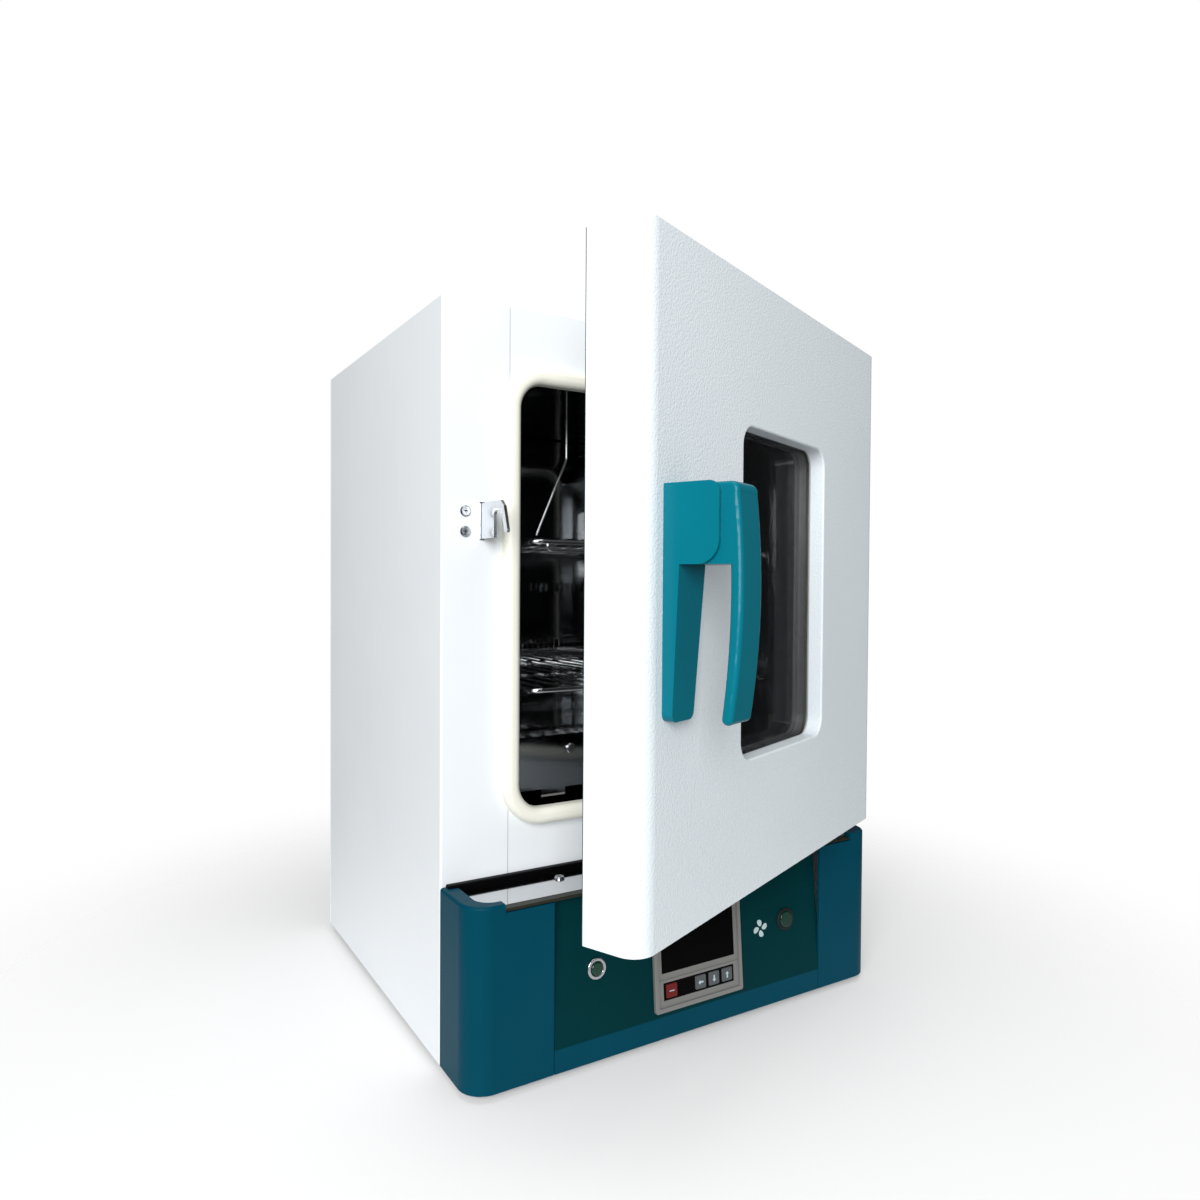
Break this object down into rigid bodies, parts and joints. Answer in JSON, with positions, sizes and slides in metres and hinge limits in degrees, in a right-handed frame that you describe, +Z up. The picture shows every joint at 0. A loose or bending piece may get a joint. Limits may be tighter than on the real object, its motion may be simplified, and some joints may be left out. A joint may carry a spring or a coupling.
{
  "type": "drying oven",
  "caption": "Bench drying oven with a right-hinged windowed door, lever latch, mirror-polished chamber, wire shelves, fan duct and a leaning control panel in the base.",
  "frame": {"origin": "centre of the four feet's footprint, on the floor", "axes": "+Z up, -Y out of the front (towards the user), +X to the user's right; the door stands ajar by 22.9 degrees at rest"},
  "size_m": [0.5547, 0.7706, 0.788],
  "materials": {
    "back_panel": "smooth semi-gloss powder coat",
    "base_tray": "plain galvanised sheet",
    "chamber_insulation": "mineral wool",
    "chamber_liner": "mirror-polished stainless steel",
    "controller_bezel": "satin silver-grey",
    "controller_body": "black",
    "deck_plate": "plain galvanised sheet",
    "display_window": "black gloss",
    "door_gasket": "cream silicone",
    "door_inner_panel": "mirror-polished stainless steel",
    "door_insulation": "mineral wool",
    "door_skin": "fine orange-peel powder coat",
    "duct_panel": "mirror-polished stainless steel",
    "fan_button": "green lens",
    "fan_motor": "dark enamel",
    "fan_ring": "black",
    "fan_wheel": "plain",
    "fascia": "satin teal paint",
    "feet": "black",
    "front_panel": "smooth semi-gloss powder coat",
    "front_screws": "bright steel",
    "handle_base": "gloss teal enamel",
    "heater": "dull stainless tube",
    "heater_cover": "mirror-polished stainless steel",
    "hinge_brackets": "plain galvanised sheet",
    "hinge_leaves": "plain galvanised sheet",
    "hinge_pins": "bright steel",
    "inner_glass": "clear",
    "keeper": "bright steel",
    "key_down": "grey",
    "key_set": "red",
    "key_shift": "grey",
    "key_strip": "black gloss",
    "key_up": "grey",
    "ledge_plate": "mirror-polished stainless steel",
    "ledge_strip": "black gloss",
    "lever": "gloss teal enamel",
    "lever_pins": "bright steel",
    "outer_glass": "clear",
    "panel_film": "dark teal film",
    "panel_screws": "bright steel",
    "pillar_left": "satin teal paint",
    "pillar_right": "satin teal paint",
    "power_button": "green lens",
    "power_inlet": "black",
    "power_ring": "bright steel",
    "relay": "black",
    "shelf_clips": "bright steel",
    "shelf_lower": "bright steel",
    "shelf_rails_left": "plain galvanised sheet",
    "shelf_rails_right": "plain galvanised sheet",
    "shelf_upper": "bright steel",
    "side_panel_left": "smooth semi-gloss powder coat",
    "side_panel_right": "smooth semi-gloss powder coat",
    "temperature_probe": "bright steel",
    "top_panel": "smooth semi-gloss powder coat",
    "trim_bar": "satin dark olive",
    "vent_tube": "dull stainless tube",
    "window_frame": "grey",
    "window_seals": "grey silicone"
  },
  "bodies": {
    "cabinet": {"back_panel": "back_panel", "base_tray": "base_tray", "chamber_insulation": "chamber_insulation", "chamber_liner": "chamber_liner", "controller_bezel": "controller_bezel", "controller_body": "controller_body", "deck_plate": "deck_plate", "display_window": "display_window", "door_gasket": "door_gasket", "duct_panel": "duct_panel", "fan_motor": "fan_motor", "fan_ring": "fan_ring", "fascia": "fascia", "feet": "feet", "front_panel": "front_panel", "front_screws": "front_screws", "heater": "heater", "heater_cover": "heater_cover", "hinge_brackets": "hinge_brackets", "keeper": "keeper", "key_strip": "key_strip", "ledge_plate": "ledge_plate", "ledge_strip": "ledge_strip", "panel_film": "panel_film", "panel_screws": "panel_screws", "pillar_left": "pillar_left", "pillar_right": "pillar_right", "power_inlet": "power_inlet", "power_ring": "power_ring", "relay": "relay", "shelf_clips": "shelf_clips", "shelf_rails_left": "shelf_rails_left", "shelf_rails_right": "shelf_rails_right", "side_panel_left": "side_panel_left", "side_panel_right": "side_panel_right", "temperature_probe": "temperature_probe", "top_panel": "top_panel", "trim_bar": "trim_bar", "vent_tube": "vent_tube"},
    "door": {"door_skin": "door_skin", "door_inner_panel": "door_inner_panel", "door_insulation": "door_insulation", "window_frame": "window_frame", "outer_glass": "outer_glass", "inner_glass": "inner_glass", "window_seals": "window_seals", "hinge_leaves": "hinge_leaves", "hinge_pins": "hinge_pins", "handle_base": "handle_base"},
    "lever": {"lever": "lever", "lever_pins": "lever_pins"},
    "shelf_upper": {"shelf_upper": "shelf_upper"},
    "shelf_lower": {"shelf_lower": "shelf_lower"},
    "fan": {"fan_wheel": "fan_wheel"},
    "power_button": {"power_button": "power_button"},
    "fan_button": {"fan_button": "fan_button"},
    "key_set": {"key_set": "key_set"},
    "key_shift": {"key_shift": "key_shift"},
    "key_down": {"key_down": "key_down"},
    "key_up": {"key_up": "key_up"}
  },
  "joints": [
    {"name": "door_hinge", "type": "hinge", "parent": "cabinet", "child": "door", "pos_m": [0.251, -0.2108, 0.4945], "axis": [0, 0, 1], "range_deg": [-22.9, 82.1]},
    {"name": "lever_pivot", "type": "hinge", "parent": "door", "child": "lever", "pos_m": [-0.15626, -0.46609, 0.553], "axis": [-0.9212, -0.3891, 0], "range_deg": [-14, 20]},
    {"name": "upper_shelf_slide", "type": "slide", "parent": "cabinet", "child": "shelf_upper", "axis": [0, -1, 0], "range_m": [0, 0.045]},
    {"name": "lower_shelf_slide", "type": "slide", "parent": "cabinet", "child": "shelf_lower", "axis": [0, -1, 0], "range_m": [0, 0.045]},
    {"name": "fan_spin", "type": "hinge", "parent": "cabinet", "child": "fan", "pos_m": [0, 0.16, 0.5995], "axis": [0, 1, 0], "continuous": true},
    {"name": "power_button_press", "type": "slide", "parent": "cabinet", "child": "power_button", "axis": [0, 0.9968, -0.0805], "range_m": [0, 0.0025], "stiffness_N_per_m": 500},
    {"name": "fan_button_press", "type": "slide", "parent": "cabinet", "child": "fan_button", "axis": [0, 0.9968, -0.0805], "range_m": [0, 0.0025], "stiffness_N_per_m": 500},
    {"name": "key_set_press", "type": "slide", "parent": "cabinet", "child": "key_set", "axis": [0, 0.9968, -0.0805], "range_m": [0, 0.0006], "stiffness_N_per_m": 1500},
    {"name": "key_shift_press", "type": "slide", "parent": "cabinet", "child": "key_shift", "axis": [0, 0.9968, -0.0805], "range_m": [0, 0.0006], "stiffness_N_per_m": 1500},
    {"name": "key_down_press", "type": "slide", "parent": "cabinet", "child": "key_down", "axis": [0, 0.9968, -0.0805], "range_m": [0, 0.0006], "stiffness_N_per_m": 1500},
    {"name": "key_up_press", "type": "slide", "parent": "cabinet", "child": "key_up", "axis": [0, 0.9968, -0.0805], "range_m": [0, 0.0006], "stiffness_N_per_m": 1500}
  ]
}
